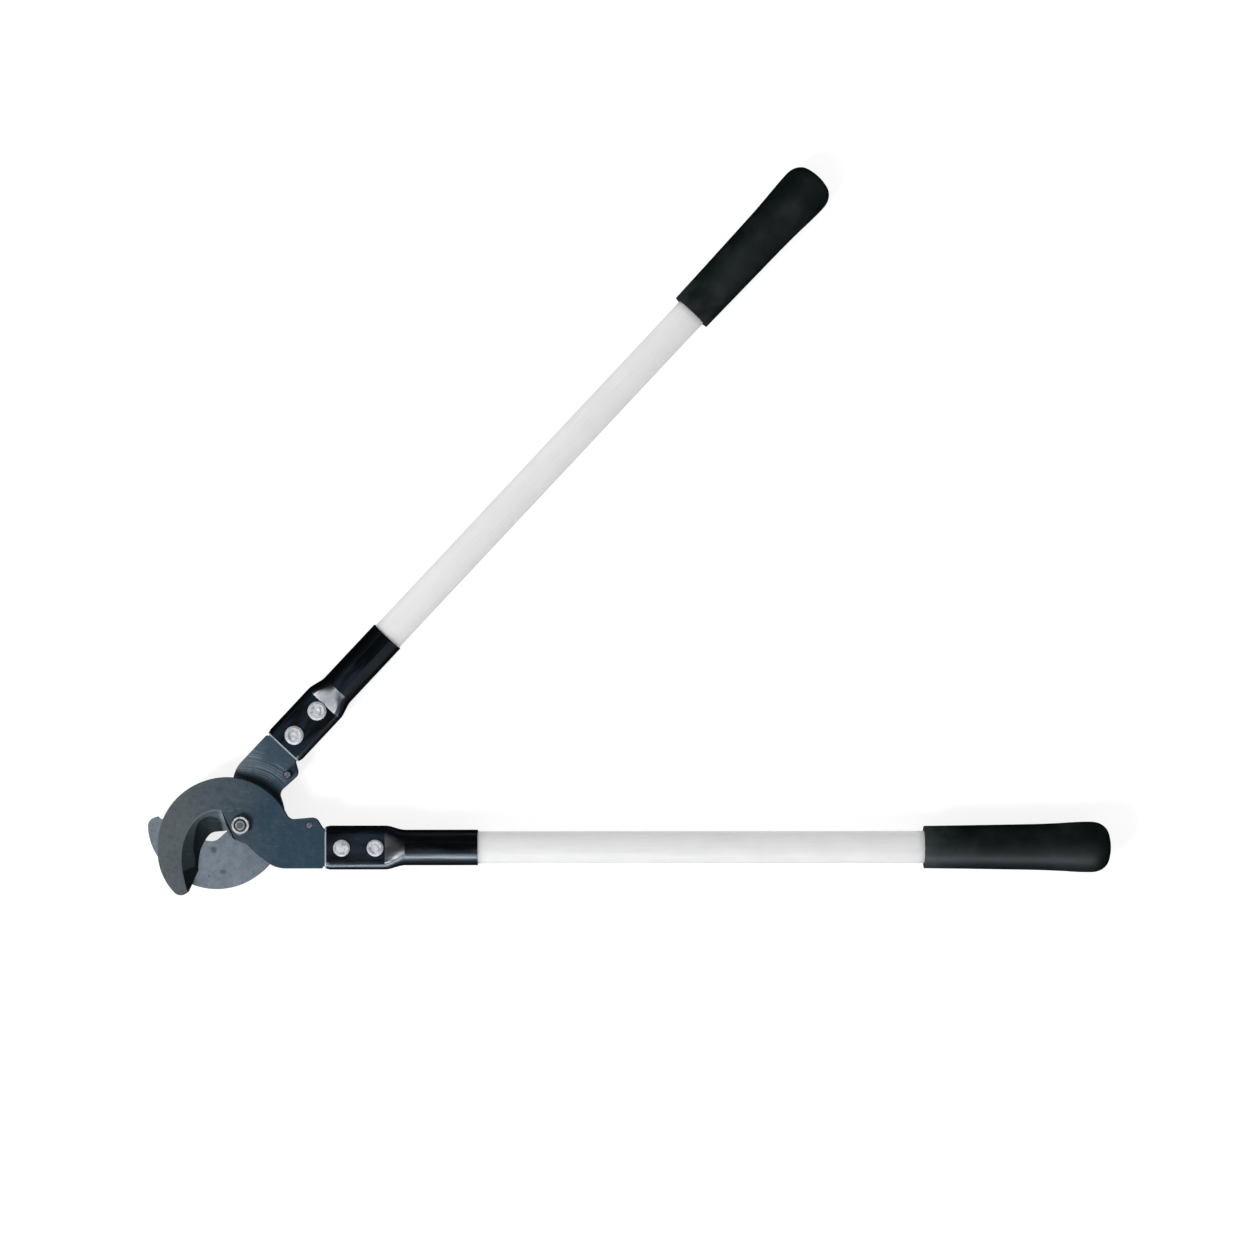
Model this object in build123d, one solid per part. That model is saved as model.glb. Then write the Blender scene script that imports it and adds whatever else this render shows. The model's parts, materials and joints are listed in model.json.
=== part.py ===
from build123d import *
import os
from math import cos, radians, sin, sqrt, tan

# Long-handled shear-type cable cutter, lying flat with its handles spread.
# Millimetres. The origin is on the pivot axis, at the outer face of the pivot bolt's head. +Z runs up
# the pivot axis towards the lock nut, and +X runs along the line that halves the angle of the handles.
# Each half of the tool is designed in its own frame: the pivot at (0, 0), +X along that half's handle,
# +Y towards the other handle, and z = 0 in the middle of the clearance between the two shear faces.

# ---- driving dimensions ----
rest_angle = 46.8             # angle between the two handles as the tool lies
plate = 12.0                  # thickness of each jaw
shear_gap = 0.10              # running clearance between the two shear faces
head_gap = 0.05               # running clearance between the bolt's head and the rear jaw

handle_offset = 18.1          # each handle's axis stands this far outside the pivot
socket_start = 66.0           # distances along the handle from here on
flat_end = 113.0
round_start = 129.0
socket_end = 186.0
grip_start = 537.0
grip_end = 683.8
tang_end = 116.0
rivet_places = (79.2, 105.6)

pivot_radius = 9.525 / 2      # 3/8 in bolt
pivot_clearance = 0.05        # radial, in the rear jaw
hex_width = 14.29             # 9/16 in across flats, for both the head and the nut
head_height = 6.0
nut_height = 5.6
bolt_end_proud = 1.0

jaw_radius = 53.2             # the back of the jaw is one round arc
jaw_centre = (-12.3, -16.0)
hook_radius = 46.7            # a tighter arc takes over towards the hook's tip
hook_centre = (-18.85, -20.6)
edge_break = 0.5              # chamfer round the jaw's outer face
pin_radius = 3.175
pin_place = (53.7, -0.45)
pin_reach = 11.5              # how far each stop pin stands past the shear face

tang_height = 29.0
socket_height = 34.5          # over the flattened part
socket_wall = 1.5
flat_corner = 6.3
mouth_length = 3.5            # the mouth draws in over this much
shoulder_steps = 6            # sections that the shoulder is lofted through
tube_radius = 12.7            # 1 in fibreglass tube
ferrule_wall = 1.3
tube_wall = 4.0
tube_start = 130.0
tube_end = 679.0

# ---- derived places ----
half_angle = rest_angle / 2
handle_z = shear_gap / 2 + plate / 2
shear_plane = head_height + head_gap + plate + shear_gap / 2


def on_handle(distance, across=0.0, height=0.0):
    """A point given along and across one handle's own axis."""
    return (distance, across - handle_offset, height + handle_z)


# ---- jaw ----
def bar(*corners):
    """A straight-edged flat shape."""
    return make_face(Polyline(*corners, close=True))


def corner_near(sketch, x, y):
    return sketch.vertices().sort_by_distance((x, y, 0))[0]


def jaw_outline():
    """The jaw from above: a round back, an ear for the stop pin, and an arm that narrows to the tang."""
    arm_bottom = -34.3
    tang_top = tang_height / 2 - handle_offset
    tang_bottom = -tang_height / 2 - handle_offset
    back = Pos(*jaw_centre) * Circle(jaw_radius) + Pos(*hook_centre) * Circle(hook_radius)
    arm = bar((10, 1.4), (58.5, 5.6), (64.2, tang_top), (socket_start, tang_top),
              (socket_start, tang_bottom), (64.6, tang_bottom), (63.6, arm_bottom), (10, arm_bottom))
    bay = bar((61, arm_bottom), (27.4, arm_bottom), (13, -24), (4.5, -15.8), (-12, -8.6), (-24, -26),
              (-58, -77), (61, -77))
    whole = back + arm - bay
    whole = fillet(corner_near(whole, 38, 4), 6)
    whole = fillet(corner_near(whole, 58.5, 5.6), 6)
    whole = fillet(corner_near(whole, 64.2, tang_top), 2)
    whole = fillet(corner_near(whole, 27.4, arm_bottom), 25)
    whole = fillet(corner_near(whole, 13, -24), 12)
    whole = fillet(corner_near(whole, 4.5, -15.8), 8)
    whole = fillet(corner_near(whole, -46, -59), 7)
    return whole


# The throat is ground in two facets. Each level's edge runs from the hook's tip, round the throat, to
# the straight wall that stops the grinding short of the pivot.
tip = (-42.0, -53.0)
hub_wall_low = 13.2           # the wall's distance from the pivot at the shear face
hub_wall_high = 8.4           # and at the outer face
hub_wall_reach = 12.0
hub_wall_normal = (-cos(radians(half_angle + 2.1)), -sin(radians(half_angle + 2.1)))


def crease_height(x, y):
    """The crease between the two facets lies in one tilted plane."""
    return 4.2 - 0.16 * x + 0.185 * y


def level(height):
    return lambda x, y: height


def hub_wall(distance, along):
    nx, ny = hub_wall_normal
    return (nx * distance - ny * along, ny * distance + nx * along)


def throat_section(tip_edge, main_edge, wall_foot, height):
    """One closed outline of the ground-away space, at a level or in the crease's plane."""
    closing = ((-18.0, -27.0), (-38.5, -54.0))

    def raise_all(points):
        return [(x, y, height(x, y)) for x, y in points]

    tip_curve = Spline(*raise_all(tip_edge))
    main_curve = Spline(*raise_all(main_edge))
    rest = Polyline(*raise_all([main_edge[-1], wall_foot, *closing, tip_edge[0]]))
    return Wire([tip_curve, main_curve, *rest.edges()])


def crease_wall_foot():
    """Where the hub's wall, at its full reach, passes through the crease's plane."""
    low, high = hub_wall_low, hub_wall_high
    for _ in range(40):
        middle = (low + high) / 2
        wall_height = plate * (hub_wall_low - middle) / (hub_wall_low - hub_wall_high)
        if crease_height(*hub_wall(middle, hub_wall_reach)) > wall_height:
            low = middle
        else:
            high = middle
    return hub_wall(middle, hub_wall_reach)


def throat_cutter():
    outer_tip = [tip, (-44.9, -42.9), (-46.5, -36.6)]
    outer_main = [(-46.5, -36.6), (-47.7, -27.2), (-46.1, -13), (-38.7, 1.8), (-28.6, 10.1),
                  hub_wall(hub_wall_high, -17)]
    crease_tip = [tip, (-38.9, -43.4), (-37.6, -33)]
    crease_main = [(-37.6, -33), (-36.8, -26.7), (-38, -17.8), (-36.9, -9.7), (-33.3, 2.3), (-25.3, 6.7),
                   (-16.1, 3.3), hub_wall(11.14, -1.2)]
    edge_tip = [tip, (-37.9, -43.5), (-34.7, -36.5)]
    edge_main = [(-34.7, -36.5), (-34.5, -28.7), (-32.4, -18.8), (-29.15, -12.5), (-23.8, -6.7),
                 (-18, -5.6), hub_wall(hub_wall_low, -0.8)]
    outer = throat_section(outer_tip, outer_main, hub_wall(hub_wall_high, hub_wall_reach), level(plate))
    above = throat_section(outer_tip, outer_main, hub_wall(hub_wall_high, hub_wall_reach), level(plate + 1))
    crease = throat_section(crease_tip, crease_main, crease_wall_foot(), crease_height)
    edge = throat_section(edge_tip, edge_main, hub_wall(hub_wall_low, hub_wall_reach), level(0))
    below = throat_section(edge_tip, edge_main, hub_wall(hub_wall_low, hub_wall_reach), level(-1))
    return Solid.make_loft([above, outer, crease, edge, below], ruled=True)


def cross_hole(x, y, radius):
    return Pos(x, y, 0) * Cylinder(radius, 4 * plate)


def make_jaw(pivot_hole):
    body = extrude(jaw_outline(), plate)
    body = chamfer(body.edges().group_by(Axis.Z)[-1], edge_break)
    body = body - throat_cutter()
    tang_length = tang_end - socket_start + 3
    tang = Box(tang_length, tang_height, plate)
    tang = fillet(tang.edges().filter_by(Axis.X), 4.5)
    body = body + Pos(tang_end - tang_length / 2, -handle_offset, plate / 2) * tang
    body = body - cross_hole(0, 0, pivot_hole)
    body = body - cross_hole(*pin_place, pin_radius)
    for place in rivet_places:
        body = body - cross_hole(place, -handle_offset, rivet_radius)
    return Pos(0, 0, shear_gap / 2) * body


# ---- socket ----
rivet_radius = 4.0
socket_thickness = plate + 2 * socket_wall


def flat_ring(half_height, half_thickness, corner):
    """A rounded rectangle across the handle: eight edges, each as its start, middle and end."""
    y, z, r = half_height, half_thickness, corner
    s = r * (1 - sqrt(0.5))
    ends = [(-y + r, z), (y - r, z), (y, z - r), (y, -z + r), (y - r, -z), (-y + r, -z), (-y, -z + r),
            (-y, z - r)]
    middles = [(0, z), (y - s, z - s), (y, 0), (y - s, -z + s), (0, -z), (-y + s, -z + s), (-y, 0),
               (-y + s, z - s)]
    return [(ends[i], middles[i], ends[(i + 1) % 8]) for i in range(8)]


def round_ring(radius):
    """A circle as eight arcs that match the rounded rectangle's edges."""
    face, side = 26.0, 8.0
    turns = [(-face, face), (face, 90 - side), (90 - side, 90 + side), (90 + side, 180 - face),
             (180 - face, 180 + face), (180 + face, 270 - side), (270 - side, 270 + side),
             (270 + side, 360 - face)]

    def point(angle):
        return (radius * sin(radians(angle)), radius * cos(radians(angle)))

    return [(point(a), point((a + b) / 2), point(b)) for a, b in turns]


def blend_rings(first, second, share):
    """A ring part of the way between two: the top and bottom slope straight, the sides in an S-curve."""
    eased = share * share * (3 - 2 * share)
    return [tuple((a[0] + eased * (b[0] - a[0]), a[1] + share * (b[1] - a[1])) for a, b in zip(edge, other))
            for edge, other in zip(first, second)]


def ring_wire(at, ring):
    edges = []
    for start, middle, end in ring:
        places = [(at, *start), (at, *middle), (at, *end)]
        bulge = abs((end[0] - start[0]) * (middle[1] - start[1]) - (end[1] - start[1]) * (middle[0] - start[0]))
        straight = bulge < 1e-6
        edges.append(Line(places[0], places[2]) if straight else ThreePointArc(*places))
    return Wire(edges)


def pressed_tube(start, end, half_height, half_thickness, corner, radius, mouth_taper):
    """A solid that is flat at the jaw's end, with soft shoulders, and round at the tube's end."""
    flat = flat_ring(half_height, half_thickness, corner)
    mouth = flat_ring(half_height - mouth_taper, half_thickness, corner)
    rounded = round_ring(radius)
    places = [(start, mouth)] if mouth_taper else []
    places += [(start + mouth_length * (1 if mouth_taper else 0), flat), (flat_end, flat)]
    pressed = Solid.make_loft([ring_wire(at, ring) for at, ring in places], ruled=True)
    wires = []
    for step in range(shoulder_steps + 1):
        share = step / shoulder_steps
        ring = blend_rings(flat, rounded, share)
        wires.append(ring_wire(flat_end + share * (round_start - flat_end), ring))
    shoulder = Solid.make_loft(wires)
    barrel = Pos((round_start + end) / 2, 0, 0) * Rot(0, 90, 0) * Cylinder(radius, end - round_start)
    return pressed + shoulder + barrel


def make_socket():
    outside = pressed_tube(socket_start, socket_end, socket_height / 2, socket_thickness / 2,
                           flat_corner, tube_radius + ferrule_wall, mouth_taper=0.9)
    inside = pressed_tube(socket_start - 1, socket_end + 1, socket_height / 2 - socket_wall, plate / 2,
                          flat_corner - socket_wall, tube_radius, mouth_taper=0)
    shell = Pos(0, -handle_offset, handle_z) * (outside - inside)
    for place in rivet_places:
        shell = shell - cross_hole(place, -handle_offset, rivet_radius)
    return shell


# ---- rivets: a factory head on the jaw's outer side and a wider formed head on the other ----
def make_rivet(place):
    half = socket_thickness / 2
    factory_radius, factory_height = 6.55, 2.3
    formed_radius, formed_height, dish_depth = 7.4, 2.2, 0.5
    profile = make_face(Polyline(
        (0, half + factory_height), (factory_radius - 1.4, half + factory_height),
        (factory_radius, half + factory_height - 1.1), (factory_radius, half), (rivet_radius, half),
        (rivet_radius, -half), (formed_radius, -half), (formed_radius, -half - 1.0),
        (formed_radius - 1.6, -half - formed_height), (2.6, -half - formed_height),
        (0, -half - formed_height + dish_depth), close=True))
    rivet = revolve(Plane.XZ * profile, Axis.Z)
    return Pos(*on_handle(place)) * rivet


# ---- handle tube and grip ----
def make_tube():
    length = tube_end - tube_start
    tube = Cylinder(tube_radius, length) - Cylinder(tube_radius - tube_wall, length)
    return Pos(*on_handle((tube_start + tube_end) / 2)) * Rot(0, 90, 0) * tube


def make_grip():
    """A dipped sleeve that swells towards its closed, rounded end."""
    length = grip_end - grip_start
    bore_depth = tube_end - grip_start
    side = Spline((0, 16.7), (67, 17.7), (105, 18.75), (130, 19.9), tangents=((1, 0.01), (1, 0)))
    nose = Spline((130, 19.9), (138.6, 18.4), (142.4, 15.8), (144.9, 12.2), (146.3, 7), (length, 0),
                  tangents=((1, 0), (0, -1)))
    inside = Polyline((length, 0), (bore_depth, 0), (bore_depth, tube_radius), (0, tube_radius), (0, 16.7))
    profile = make_face(Wire([side, nose, *inside.edges()]))
    return Pos(*on_handle(grip_start)) * revolve(profile, Axis.X)


def make_pin():
    top = shear_gap / 2 + plate
    bottom = -shear_gap / 2 - pin_reach
    pin = Cylinder(pin_radius, top - bottom)
    pin = chamfer(pin.edges().group_by(Axis.Z)[0], 0.5)
    return Pos(*pin_place, (top + bottom) / 2) * pin


# ---- pivot ----
def hexagon(height):
    return extrude(RegularPolygon(hex_width / 2, 6, major_radius=False), height)


def chamfer_cone(face_height, towards):
    """A wide cone that takes the corners off a hexagon at one face."""
    face_radius, slope_height = 6.75, 6.0
    wide = face_radius + slope_height / tan(radians(30))
    cone = Cone(wide, face_radius, slope_height, align=(Align.CENTER, Align.CENTER, Align.MAX))
    if towards < 0:
        cone = Rot(180, 0, 0) * cone
    return Pos(0, 0, face_height) * cone


def make_bolt():
    top = shear_plane + shear_gap / 2 + plate + nut_height + bolt_end_proud
    head = hexagon(head_height) & chamfer_cone(0, -1)
    shank = Cylinder(pivot_radius, top, align=(Align.CENTER, Align.CENTER, Align.MIN))
    shank = chamfer(shank.edges().group_by(Axis.Z)[-1], 1.3)
    return head + shank


def make_nut():
    nut = hexagon(nut_height) & chamfer_cone(nut_height, 1) & chamfer_cone(0, -1)
    nut = nut - Cylinder(pivot_radius, 4 * nut_height)
    return Pos(0, 0, shear_plane + shear_gap / 2 + plate) * nut


# ---- the two halves and the pivot, in the tool's frame ----
def make_half(pivot_hole):
    inner, outer = rivet_places
    return {"jaw": make_jaw(pivot_hole), "stop_pin": make_pin(), "socket": make_socket(),
            "inner_rivet": make_rivet(inner), "outer_rivet": make_rivet(outer),
            "handle_tube": make_tube(), "grip": make_grip()}


to_front = Pos(0, 0, shear_plane) * Rot(0, 0, -half_angle)
to_rear = Pos(0, 0, shear_plane) * Rot(180, 0, 0) * Rot(0, 0, -half_angle)

pieces = {"pivot_bolt": make_bolt(), "pivot_lock_nut": make_nut()}
for name, shape in make_half(pivot_radius).items():
    pieces["front_" + name] = to_front * shape
for name, shape in make_half(pivot_radius + pivot_clearance).items():
    pieces["rear_" + name] = to_rear * shape

os.makedirs("parts", exist_ok=True)
for name, shape in pieces.items():
    export_step(shape, "parts/" + name + ".step")
    print(name, round(shape.volume), shape.is_valid)
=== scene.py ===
import json
import math

import bpy
from mathutils import Matrix, Vector


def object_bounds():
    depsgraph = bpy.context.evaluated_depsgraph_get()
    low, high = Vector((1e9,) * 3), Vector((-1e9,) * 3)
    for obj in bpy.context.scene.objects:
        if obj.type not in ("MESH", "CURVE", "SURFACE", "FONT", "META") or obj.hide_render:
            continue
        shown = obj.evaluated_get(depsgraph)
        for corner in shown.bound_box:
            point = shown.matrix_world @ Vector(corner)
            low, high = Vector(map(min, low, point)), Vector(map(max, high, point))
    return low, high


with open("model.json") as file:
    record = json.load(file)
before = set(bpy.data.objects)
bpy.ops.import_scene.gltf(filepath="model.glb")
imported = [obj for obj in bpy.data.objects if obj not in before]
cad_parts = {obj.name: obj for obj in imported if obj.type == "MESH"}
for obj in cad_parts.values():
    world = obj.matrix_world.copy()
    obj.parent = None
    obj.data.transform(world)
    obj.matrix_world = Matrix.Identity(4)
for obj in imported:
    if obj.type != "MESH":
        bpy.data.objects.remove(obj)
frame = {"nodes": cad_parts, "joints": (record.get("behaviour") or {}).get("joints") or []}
cad_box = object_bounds()

# ---- frame facts ----
pivot = Vector(frame["joints"][0]["pos_m"])      # on the pivot axis, in the shear plane
half_angle = math.radians(23.4)                  # each handle's turn from the bisector, +X
handle_across = Vector((math.sin(half_angle), math.cos(half_angle), 0))
handle_along = Vector((math.cos(half_angle), -math.sin(half_angle), 0))
plate = 0.012                                    # thickness of a jaw
handle_offset = -0.0181                          # the handle's axis, across from the pivot
socket_mouth = 0.066                             # where the socket starts, along the handle
socket_end = 0.186
grip_start = 0.537                               # where the grip starts, along the handle
other_disc = (-0.0201, 0.0020, 0.0532)           # the other jaw's disc at rest: its middle and radius
rivets_middle = (0.0924, 0.0132)                 # between a half's two rivets, and to each of them
stop_pin = (0.0537, -0.00045)                    # its middle, along the handle and across
bevel_foot = plate - 0.0005                      # the broken edge round the outer face starts here
thread_start = 0.0290                            # the thread runs from here, below the nut, to the end
thread_pitch = 0.00159
sides = ("front", "rear")

# ---- camera: square to the tool, with the front handle about level in the picture ----
picture_width = 0.98905                          # metres across the picture, in the shear plane
camera_distance = 3.0
camera_across = 0.30335                          # right of and above the pivot
camera_along = 0.15478

turn = math.radians(23.45)
right = Vector((math.cos(turn), -math.sin(turn), 0))
up = Vector((math.sin(turn), math.cos(turn), 0))
towards = Vector((0, 0, 1))


def picture_place(across, along, height):
    """A point given in metres right of, above and in front of the pivot, as the camera sees it."""
    return pivot + right * across + up * along + towards * height


def add_camera():
    data = bpy.data.cameras.new("camera")
    data.sensor_fit = "HORIZONTAL"
    data.sensor_width = 36.0
    data.lens = data.sensor_width * camera_distance / picture_width
    camera = bpy.data.objects.new("camera", data)
    facing = Matrix((right, up, towards)).transposed().to_4x4()
    place = picture_place(camera_across, camera_along, camera_distance)
    camera.matrix_world = Matrix.Translation(place) @ facing
    bpy.context.scene.collection.objects.link(camera)
    bpy.context.scene.camera = camera


# ---- shader graphs ----
class Graph:
    """A material's nodes, added one call at a time."""

    def __init__(self, name):
        self.material = bpy.data.materials.new(name)
        self.material.use_nodes = True
        self.tree = self.material.node_tree
        self.tree.nodes.clear()
        self.output = self.add("ShaderNodeOutputMaterial")

    def add(self, kind, inputs=None, **settings):
        node = self.tree.nodes.new(kind)
        for key, value in settings.items():
            setattr(node, key, value)
        for key, value in (inputs or {}).items():
            if isinstance(value, bpy.types.NodeSocket):
                self.tree.links.new(value, node.inputs[key])
            else:
                node.inputs[key].default_value = value
        return node

    def math(self, operation, a, b=0.0, clamp=False):
        node = self.add("ShaderNodeMath", {0: a, 1: b}, operation=operation, use_clamp=clamp)
        return node.outputs[0]

    def plus(self, a, b, clamp=False):
        return self.math("ADD", a, b, clamp=clamp)

    def minus(self, a, b):
        return self.math("SUBTRACT", a, b)

    def times(self, first, *others):
        for other in others:
            first = self.math("MULTIPLY", first, other)
        return first

    def swing(self, noise, amount):
        """A noise's swing to either side of its middle."""
        return self.times(self.minus(noise, 0.5), amount)

    def rough(self, base, noise, amount):
        """A roughness that a noise raises."""
        return self.plus(base, self.times(noise, amount))

    def distance(self, x, y, middle=(0.0, 0.0)):
        """How far a place is from a middle, in plan."""
        if middle[0]:
            x = self.minus(x, middle[0])
        if middle[1]:
            y = self.minus(y, middle[1])
        return self.math("SQRT", self.plus(self.times(x, x), self.times(y, y)))

    def between(self, value, low, high):
        """0 at low, 1 at high, and smooth between; low may be the larger."""
        node = self.add("ShaderNodeMapRange", {"Value": value, "From Min": low, "From Max": high},
                        interpolation_type="SMOOTHSTEP")
        return node.outputs["Result"]

    def blend(self, factor, a, b):
        """Colour a where factor is 0 and b where it is 1."""
        node = self.add("ShaderNodeMix", {0: factor}, data_type="RGBA")
        for index, value in ((6, a), (7, b)):
            if isinstance(value, bpy.types.NodeSocket):
                self.tree.links.new(value, node.inputs[index])
            else:
                node.inputs[index].default_value = (*value, 1.0)
        return node.outputs[2]

    def noise(self, place, scale, detail=3.0, roughness=0.55):
        node = self.add("ShaderNodeTexNoise", {"Vector": place, "Scale": scale, "Detail": detail,
                                               "Roughness": roughness})
        return node.outputs["Fac"]

    def bump(self, height, distance, strength, normal=None):
        inputs = {"Height": height, "Distance": distance, "Strength": strength}
        if normal is not None:
            inputs["Normal"] = normal
        return self.add("ShaderNodeBump", inputs).outputs["Normal"]

    def vector(self, operation, a, b):
        return self.add("ShaderNodeVectorMath", {0: a, 1: b}, operation=operation)

    def stretched(self, place, scales):
        return self.vector("MULTIPLY", place, scales).outputs[0]

    def parts(self, place):
        return tuple(self.add("ShaderNodeSeparateXYZ", {0: place}).outputs)

    def object_place(self):
        return self.add("ShaderNodeTexCoord").outputs["Object"]

    def handle_place(self, side):
        """x along this half's handle from the pivot, y towards the other handle, z out from the shear
        plane."""
        local = Matrix((handle_along, handle_across, towards))
        if side == "rear":
            local = local @ Matrix(((1, 0, 0), (0, -1, 0), (0, 0, -1)))
        moved = self.vector("SUBTRACT", self.object_place(), tuple(pivot)).outputs[0]
        parts = [self.vector("DOT_PRODUCT", moved, tuple(row)).outputs["Value"] for row in local]
        joined = self.add("ShaderNodeCombineXYZ", dict(enumerate(parts))).outputs[0]
        return joined, parts

    def face_tilt(self):
        """1 on faces square to the pivot axis and 0 on faces along it."""
        normal = self.add("ShaderNodeNewGeometry").outputs["Normal"]
        local = self.add("ShaderNodeVectorTransform", {0: normal}, vector_type="NORMAL",
                         convert_from="WORLD", convert_to="OBJECT").outputs[0]
        return self.math("ABSOLUTE", self.parts(local)[2])

    def finish(self, **inputs):
        named = {key.replace("_", " "): value for key, value in inputs.items()}
        shader = self.add("ShaderNodeBsdfPrincipled", named)
        self.tree.links.new(shader.outputs[0], self.output.inputs[0])
        return self.material


# ---- jaws: blackened tool steel with ground faces ----
oxide_blue = (0.016, 0.039, 0.062)               # by the arm
oxide_grey = (0.070, 0.082, 0.089)               # at the hook
crease_height = 0.0042                           # the throat's crease, above the shear plane at the pivot
crease_slopes = (-0.16, 0.185)
tip_corner = (-0.0465, -0.0366)                  # past the line through here there is only the lower facet
tip_slope = 0.404
wall_normal = (0.902, 0.431)                     # from the throat to the pivot, square to the hub's wall
wall_foot = 0.0132                               # its distance from the pivot at the shear plane
wall_slope = 0.4                                 # how fast it nears the pivot as it rises
stains = ((-0.0482, 0.0090, 0.0016), (-0.0378, 0.0144, 0.0030), (-0.0300, -0.0030, 0.0035))


def throat_colour(g, x, y, z, cloud, fine):
    """Two ground facets: a grey upper one and a lower one that reaches the tip, painted nearly black as a
    painted dark reflection.
    """
    crease = g.plus(crease_height, g.plus(g.times(x, crease_slopes[0]), g.times(y, crease_slopes[1])))
    below_crease = g.between(g.minus(crease, z), -0.00015, 0.00015)
    beyond = g.minus(g.times(g.plus(x, -tip_corner[0]), tip_slope), g.plus(y, -tip_corner[1]))
    lower = g.math("MAXIMUM", below_crease, g.between(beyond, -0.0001, 0.0002))
    grey = g.blend(g.between(y, -0.012, 0.009), (0.018, 0.026, 0.031), (0.034, 0.050, 0.060))
    # Painted dark reflection: the lower facet is coloured nearly black.
    colour = g.blend(lower, grey, (0.004, 0.008, 0.010))
    # The hub's sloping wall is painted nearly black at its top as painted shade, with a painted highlight
    # strip beside it where the wall is lit.
    away = g.plus(g.times(x, wall_normal[0]), g.times(y, wall_normal[1]))
    beside = g.minus(g.times(z, wall_slope), g.plus(away, wall_foot))
    painted_highlight_strip = g.times(g.between(beside, 0.0040, 0.0010), g.between(cloud, 0.20, 0.55), 0.9)
    colour = g.blend(painted_highlight_strip, colour, (0.135, 0.145, 0.160))
    # Painted shade: the wall's top is coloured nearly black.
    wall = g.times(g.between(beside, 0.0006, 0.0003), g.between(z, 0.0056, 0.0066))
    colour = g.blend(wall, colour, (0.002, 0.004, 0.005))
    scuffs = g.times(g.between(fine, 0.5, 0.8), 0.25)
    return g.blend(scuffs, colour, (0.05, 0.06, 0.07))


def add_painted_disc_shadow(g, colour, x, y, shear_side, blotches):
    """Painted shadow: a dark arc painted on the arm where the other jaw's rim stands over it at rest."""
    rim = g.plus(g.distance(x, y, other_disc), g.swing(blotches, 0.003))
    painted_shadow_arc = g.between(rim, other_disc[2] + 0.0062, other_disc[2] + 0.0022)
    painted_shadow_arc = g.times(painted_shadow_arc, shear_side, g.between(x, 0.020, 0.028), 0.85)
    return g.blend(painted_shadow_arc, colour, (0.003, 0.006, 0.009))


def add_stains(g, colour, x, y, shear_side, cloud):
    for spot_x, spot_y, size in stains:
        far = g.plus(g.distance(x, y, (spot_x, spot_y)), g.swing(cloud, 0.004))
        stain = g.times(g.between(far, size, size * 0.3), shear_side, 0.6)
        colour = g.blend(stain, colour, (0.030, 0.040, 0.052))
    return colour


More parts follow.
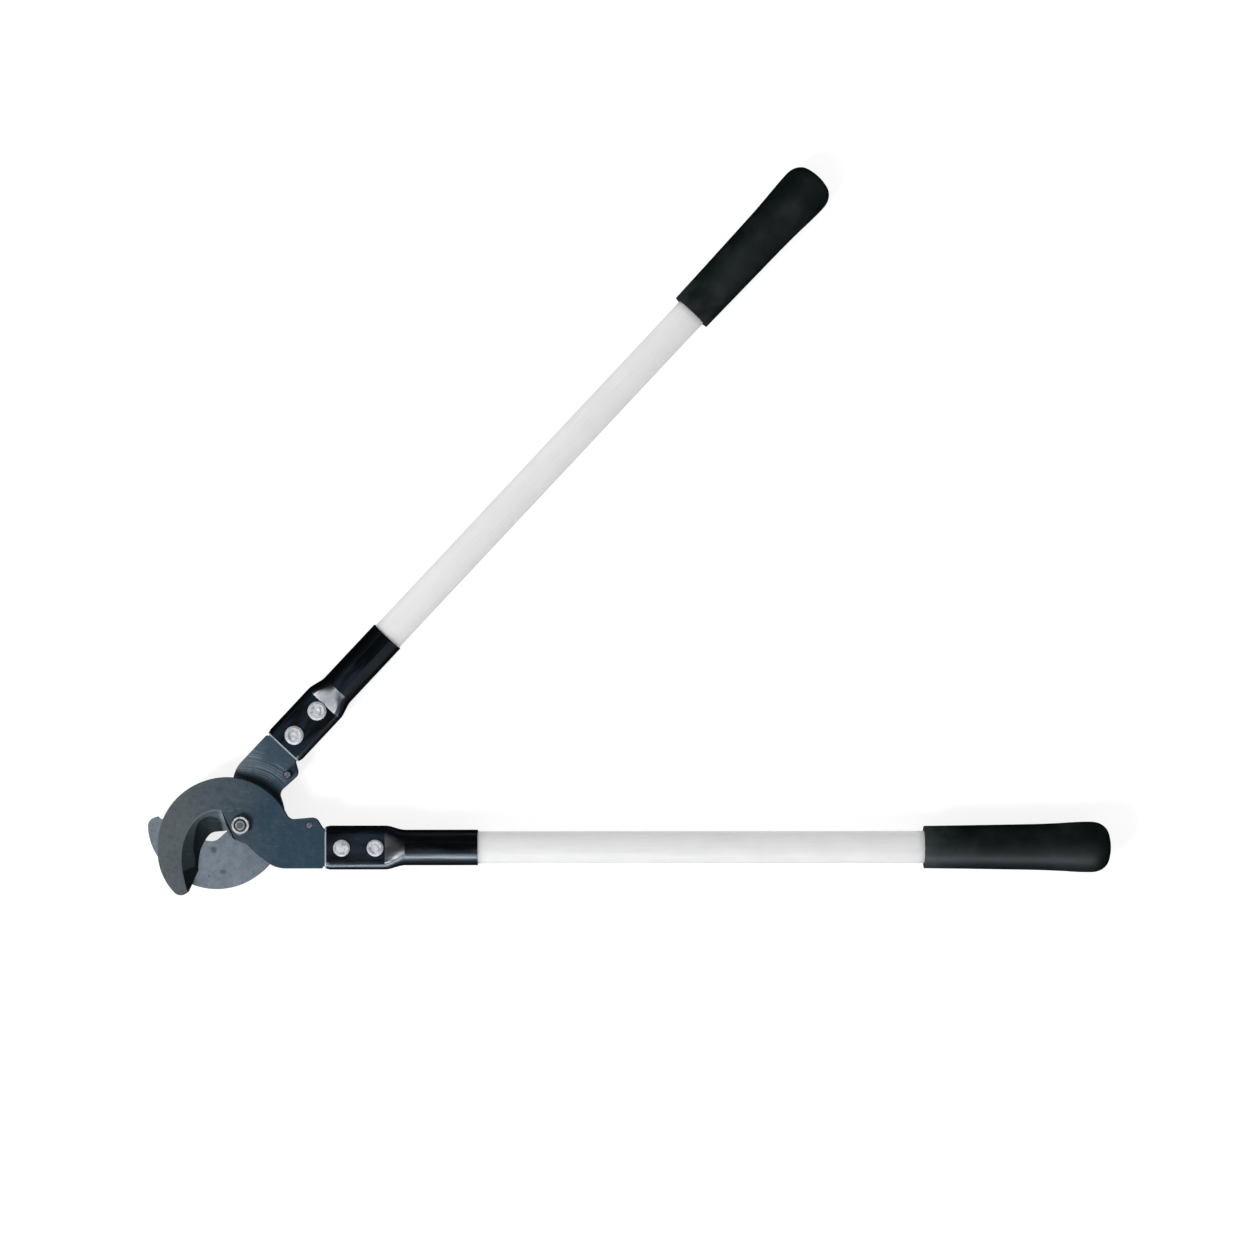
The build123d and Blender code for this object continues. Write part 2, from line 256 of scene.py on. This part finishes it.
def make_jaw_steel(side):
    g = Graph("jaw_steel_" + side)
    place, (x, y, z) = g.handle_place(side)
    tilt = g.face_tilt()
    blotches = g.noise(place, 60.0, detail=4.0)
    cloud = g.noise(place, 170.0, detail=5.0, roughness=0.65)
    fine = g.noise(place, 900.0, detail=4.0, roughness=0.7)
    shear_side = g.between(z, 0.0004, 0.0001)

    # The oxide is blue by the arm and fades to a brown grey at the hook, with soft blotches.
    mottle = g.plus(g.swing(blotches, 0.75), g.swing(cloud, 0.85))
    fade = g.plus(g.between(x, 0.042, -0.064), mottle, clamp=True)
    colour = g.blend(fade, oxide_blue, oxide_grey)

    # The shear face is ground brighter where the other jaw sweeps over it.
    swept = g.times(shear_side, g.between(x, 0.020, 0.004))
    streaks = g.noise(g.stretched(place, (70.0, 190.0, 1.0)), 1.0, detail=4.0, roughness=0.6)
    rubbed = g.plus(g.plus(0.62, g.swing(streaks, 0.55)), mottle, clamp=True)
    ground = g.blend(rubbed, (0.065, 0.090, 0.112), (0.170, 0.202, 0.236))
    colour = g.blend(swept, colour, ground)

    # Turning marks run round the pivot on the arm's shear face, which is greyer along its outer edge.
    arm_only = g.times(shear_side, g.between(x, 0.012, 0.024))
    pale = g.times(g.between(y, -0.010, -0.034), g.between(x, 0.060, 0.035), 0.55)
    colour = g.blend(g.times(arm_only, g.plus(pale, 0.15)), colour, (0.115, 0.140, 0.165))
    radius = g.plus(g.distance(x, y), g.times(g.noise(place, 45.0), 0.004))
    marks = g.noise(g.add("ShaderNodeCombineXYZ", {0: radius}).outputs[0], 620.0, roughness=0.6)
    lines = g.times(g.between(marks, 0.46, 0.66), arm_only, g.between(blotches, 0.40, 0.62),
                    g.between(x, 0.062, 0.050), 0.80)
    colour = g.blend(lines, colour, (0.190, 0.230, 0.275))

    if side == "rear":
        # The rear arm gets a painted shadow of the front jaw's disc.
        colour = add_painted_disc_shadow(g, colour, x, y, shear_side, blotches)

    facet = g.times(g.between(tilt, 0.985, 0.965), g.between(tilt, 0.10, 0.20),
                    g.between(z, bevel_foot + 0.0001, bevel_foot - 0.0001))
    colour = g.blend(facet, colour, throat_colour(g, x, y, z, cloud, fine))

    # Dark specks and scratches over everything.
    specks = g.between(g.noise(place, 260.0, detail=6.0, roughness=0.75), 0.54, 0.34)
    colour = g.blend(g.times(specks, 0.26), colour, (0.008, 0.016, 0.024))
    scratch = g.noise(g.stretched(place, (55.0, 900.0, 55.0)), 1.0, roughness=0.6)
    scratch = g.times(g.between(scratch, 0.60, 0.72), g.between(cloud, 0.42, 0.62), 0.22)
    colour = g.blend(scratch, colour, (0.20, 0.23, 0.26))

    # The broken edge round the outer face is rubbed lighter, and painted lighter still as a painted
    # highlight on the chamfer.
    edge = g.times(g.between(z, bevel_foot - 0.00012, bevel_foot), g.between(tilt, 0.97, 0.85), 0.5)
    colour = g.blend(edge, colour, (0.13, 0.15, 0.17))
    colour = g.blend(g.times(g.between(fine, 0.62, 0.74), 0.30), colour, (0.12, 0.135, 0.15))
    if side == "rear":
        colour = add_stains(g, colour, x, y, shear_side, cloud)

    grain = g.plus(g.times(fine, 0.5), g.times(marks, arm_only, 0.9))
    grain = g.plus(grain, g.times(streaks, swept, 0.5))
    return g.finish(Base_Color=colour, Metallic=0.15, Roughness=g.rough(0.46, blotches, 0.18),
                    Normal=g.bump(grain, 0.00005, 0.7), Specular_IOR_Level=0.12)


# ---- small hardware ----
def make_rivet_steel(side):
    g = Graph("rivet_steel_" + side)
    place, (x, y, _) = g.handle_place(side)
    smudge = g.noise(place, 420.0, detail=5.0, roughness=0.7)
    colour = g.blend(g.between(smudge, 0.3, 0.7), (0.33, 0.34, 0.365), (0.55, 0.56, 0.59))
    # The hammer has dished a ring inside the rim of each head; its darker colour is a painted dark
    # reflection.
    along = g.minus(g.math("ABSOLUTE", g.minus(x, rivets_middle[0])), rivets_middle[1])
    radius = g.distance(along, y, (0.0, handle_offset))
    ring = g.times(g.between(radius, 0.0020, 0.0034), g.between(radius, 0.0056, 0.0044))
    patch = g.between(g.noise(place, 190.0, detail=2.0), 0.42, 0.60)
    colour = g.blend(g.times(ring, patch, 0.75), colour, (0.10, 0.105, 0.12))
    dished = g.minus(smudge, g.times(ring, 1.5))
    return g.finish(Base_Color=colour, Metallic=0.30, Roughness=g.rough(0.46, smudge, 0.22),
                    Normal=g.bump(dished, 0.00015, 0.6))


def make_nut_steel():
    """Dark hexagon, with the face round the bolt polished bright by the wrench."""
    g = Graph("nut_steel")
    place = g.object_place()
    radius = g.distance(*g.parts(place)[:2])
    smudge = g.noise(place, 500.0, detail=4.0, roughness=0.65)
    patchy = g.between(g.noise(place, 330.0), 0.32, 0.60)
    ring = g.between(g.plus(radius, g.swing(smudge, 0.0014)), 0.0070, 0.0066)
    ring = g.times(ring, g.between(g.face_tilt(), 0.9, 0.97), g.between(radius, 0.0050, 0.0054))
    ring = g.times(ring, g.plus(0.35, g.times(patchy, 0.65)))
    dark = g.blend(smudge, (0.010, 0.014, 0.018), (0.070, 0.080, 0.090))
    bright = g.blend(smudge, (0.30, 0.31, 0.32), (0.62, 0.63, 0.63))
    return g.finish(Base_Color=g.blend(ring, dark, bright), Metallic=0.45,
                    Roughness=g.rough(0.38, smudge, 0.25), Normal=g.bump(smudge, 0.0001, 0.5))


def make_bolt_steel():
    g = Graph("bolt_steel")
    place = g.object_place()
    x, y, z = g.parts(place)
    smudge = g.noise(place, 600.0, detail=4.0, roughness=0.65)
    colour = g.blend(smudge, (0.045, 0.048, 0.052), (0.110, 0.112, 0.118))
    # Thread flanks show where the end stands out of the nut.
    wave = g.math("SINE", g.times(z, 2 * math.pi / thread_pitch))
    threaded = g.between(z, thread_start, thread_start + 0.0010)
    # The point is painted dark round its chamfer as painted shade, inside a rubbed ring.
    radius = g.distance(x, y)
    rubbed = g.times(g.between(radius, 0.0022, 0.0030), g.between(radius, 0.0041, 0.0036),
                     g.between(smudge, 0.35, 0.6), 0.8)
    colour = g.blend(rubbed, colour, (0.33, 0.33, 0.33))
    # Painted shade: the chamfer's outer part and the threaded sides are coloured nearly black.
    rim = g.times(g.between(radius, 0.0038, 0.0042), threaded)
    colour = g.blend(rim, colour, (0.006, 0.008, 0.010))
    height = g.plus(g.times(wave, threaded, 0.5), g.times(smudge, 0.3))
    return g.finish(Base_Color=colour, Metallic=0.35, Roughness=g.rough(0.42, smudge, 0.2),
                    Normal=g.bump(height, 0.0002, 0.6), Specular_IOR_Level=0.3)


def make_pin_steel(side):
    g = Graph("pin_steel_" + side)
    place, (x, y, _) = g.handle_place(side)
    smudge = g.noise(place, 900.0, detail=4.0, roughness=0.65)
    colour = g.blend(g.between(smudge, 0.35, 0.65), (0.030, 0.030, 0.042), (0.170, 0.165, 0.190))
    # Painted shade: the end's outer edge and the pin's sides are coloured nearly black.
    rim = g.between(g.distance(x, y, stop_pin), 0.0022, 0.0028)
    colour = g.blend(rim, colour, (0.008, 0.009, 0.014))
    return g.finish(Base_Color=colour, Metallic=0.2, Roughness=g.rough(0.45, smudge, 0.2),
                    Normal=g.bump(smudge, 0.0001, 0.6), Specular_IOR_Level=0.2)


# ---- sockets: black enamel over steel tube ----
def make_enamel(side):
    g = Graph("black_enamel_" + side)
    place, (x, _, _) = g.handle_place(side)
    drawn = g.stretched(place, (0.25, 1.0, 1.0))
    dust = g.noise(drawn, 160.0, detail=5.0, roughness=0.65)
    tilt = g.face_tilt()
    colour = g.blend(g.between(dust, 0.55, 0.85), (0.0005, 0.0016, 0.0025), (0.006, 0.010, 0.014))
    # A painted bluish sheen on the flat faces stands in for their reflection.
    painted_sheen = g.times(g.between(g.noise(drawn, 70.0), 0.42, 0.62), g.between(tilt, 0.90, 0.99), 0.8)
    colour = g.blend(painted_sheen, colour, (0.009, 0.017, 0.029))
    # The cut edge at the mouth has lost its paint, and its lighter colour is also a painted highlight on
    # that edge.
    mouth = g.between(x, socket_mouth + 0.0012, socket_mouth + 0.0009)
    colour = g.blend(g.times(mouth, g.between(dust, 0.25, 0.45)), colour, (0.30, 0.33, 0.35))
    peel = g.bump(g.noise(place, 300.0, detail=2.0), 0.00008, 0.6)
    dents = g.bump(g.noise(drawn, 70.0, detail=1.5), 0.0018, 0.55, normal=peel)
    tilted = g.plus(g.times(g.between(tilt, 0.985, 0.93), 0.15), 0.13)
    return g.finish(Base_Color=colour, Metallic=0.0, Roughness=g.rough(tilted, dust, 0.14), Normal=dents,
                    Specular_IOR_Level=0.8, Specular_Tint=(0.90, 0.93, 1.0, 1.0))


# ---- handle tubes: white fibreglass ----
def make_fibreglass(side):
    g = Graph("fibreglass_" + side)
    place, (x, _, _) = g.handle_place(side)
    fibres = g.noise(g.stretched(place, (0.03, 1.0, 1.0)), 900.0, detail=4.0, roughness=0.6)
    cloud = g.noise(place, 28.0, detail=2.0)
    tone = g.plus(g.times(fibres, 0.5), g.times(cloud, 0.5))
    colour = g.blend(g.between(tone, 0.3, 0.7), (0.80, 0.80, 0.82), (0.88, 0.88, 0.895))
    # The tube is darker in patches over its first 10 mm past the socket.
    darker_by_socket = g.times(g.between(x, socket_end + 0.010, socket_end), 0.35, cloud)
    colour = g.blend(darker_by_socket, colour, (0.35, 0.34, 0.33))
    return g.finish(Base_Color=colour, Roughness=g.rough(0.34, fibres, 0.12),
                    Normal=g.bump(fibres, 0.00005, 0.6), Specular_IOR_Level=0.15,
                    Subsurface_Weight=1.0, Subsurface_Radius=(1.0, 1.0, 1.0), Subsurface_Scale=0.02)


# ---- grips: dipped black vinyl ----
def make_vinyl(side):
    g = Graph("vinyl_" + side)
    place, (x, _, _) = g.handle_place(side)
    pebble = g.noise(place, 1500.0, roughness=0.6)
    cloud = g.noise(place, 35.0, detail=4.0)
    colour = g.blend(g.between(cloud, 0.35, 0.75), (0.0020, 0.0048, 0.0052), (0.0080, 0.0125, 0.0130))
    colour = g.blend(g.times(g.between(pebble, 0.55, 0.8), 0.4), colour, (0.020, 0.026, 0.027))
    # The grip is lighter in patches over its first 35 mm from the inner end.
    patchy = g.times(g.between(x, grip_start + 0.035, grip_start), g.between(cloud, 0.25, 0.7), 0.8)
    colour = g.blend(patchy, colour, (0.030, 0.040, 0.042))
    swell = g.bump(cloud, 0.0012, 0.25)
    return g.finish(Base_Color=colour, Roughness=g.rough(0.42, cloud, 0.16),
                    Normal=g.bump(pebble, 0.00010, 0.45, normal=swell), Specular_IOR_Level=0.25)


def dress(node, material):
    data = frame["nodes"][node].data
    data.materials.clear()
    data.materials.append(material)


def dress_nodes():
    dress("pivot_bolt", make_bolt_steel())
    dress("pivot_lock_nut", make_nut_steel())
    for side in sides:
        dress(side + "_jaw", make_jaw_steel(side))
        dress(side + "_stop_pin", make_pin_steel(side))
        dress(side + "_socket", make_enamel(side))
        rivet_steel = make_rivet_steel(side)
        dress(side + "_inner_rivet", rivet_steel)
        dress(side + "_outer_rivet", rivet_steel)
        dress(side + "_handle_tube", make_fibreglass(side))
        dress(side + "_grip", make_vinyl(side))


# ---- floor and light ----
def add_floor():
    size = 4.0
    gap = 0.0005                                 # keeps the tool clear of the floor
    height = cad_box[0][2] - gap
    corners = [(x * size, y * size, height) for x, y in ((-1, -1), (1, -1), (1, 1), (-1, 1))]
    mesh = bpy.data.meshes.new("floor")
    mesh.from_pydata(corners, [], [(0, 1, 2, 3)])
    floor = bpy.data.objects.new("floor", mesh)
    bpy.context.scene.collection.objects.link(floor)
    grey, white = (0.30, 0.30, 0.30, 1.0), (1.0, 1.0, 1.0, 1.0)
    material = Graph("floor").finish(Base_Color=grey, Roughness=0.9, Specular_IOR_Level=0.0,
                                     Emission_Color=white, Emission_Strength=0.78)
    mesh.materials.append(material)
    floor.visible_glossy = False                 # black parts keep dark rims over the pale floor


def add_light(name, across, along, height, size, power, aim):
    """A rectangular light; its place and aim are given as picture_place takes them."""
    data = bpy.data.lights.new(name, "AREA")
    data.shape = "RECTANGLE"
    data.size, data.size_y = size
    data.energy = power
    light = bpy.data.objects.new(name, data)
    place = picture_place(across, along, height)
    target = picture_place(aim[0], aim[1], 0)
    facing = (target - place).to_track_quat("-Z", "Y").to_matrix().to_4x4()
    light.matrix_world = Matrix.Translation(place) @ facing
    bpy.context.scene.collection.objects.link(light)
    return light


def add_lights():
    head = (0.0, 0.0)
    middle = (camera_across, camera_along)
    add_light("key", -1.10, -1.12, 2.45, (0.70, 0.70), 54.0, aim=(0.15, 0.08))
    add_light("lamp", -1.20, -0.95, 1.50, (0.45, 0.45), 11.0, aim=head)
    gleam = add_light("gleam", 0.10, -1.55, 0.80, (1.6, 0.40), 36.0, aim=middle)
    gleam.data.color = (0.78, 0.89, 1.0)
    gleam.visible_diffuse = False                # it only draws the highlights along the black parts
    fill = add_light("fill", 0.45, 1.60, 1.10, (2.2, 0.8), 5.0, aim=middle)
    fill.visible_glossy = False
    world = bpy.data.worlds.new("studio")
    world.use_nodes = True
    background = world.node_tree.nodes["Background"]
    background.inputs["Color"].default_value = (1.0, 1.0, 1.0, 1.0)
    background.inputs["Strength"].default_value = 0.60
    bpy.context.scene.world = world
    world.cycles_visibility.glossy = False
    bpy.context.scene.view_settings.view_transform = "Standard"


add_camera()
dress_nodes()
add_floor()
add_lights()
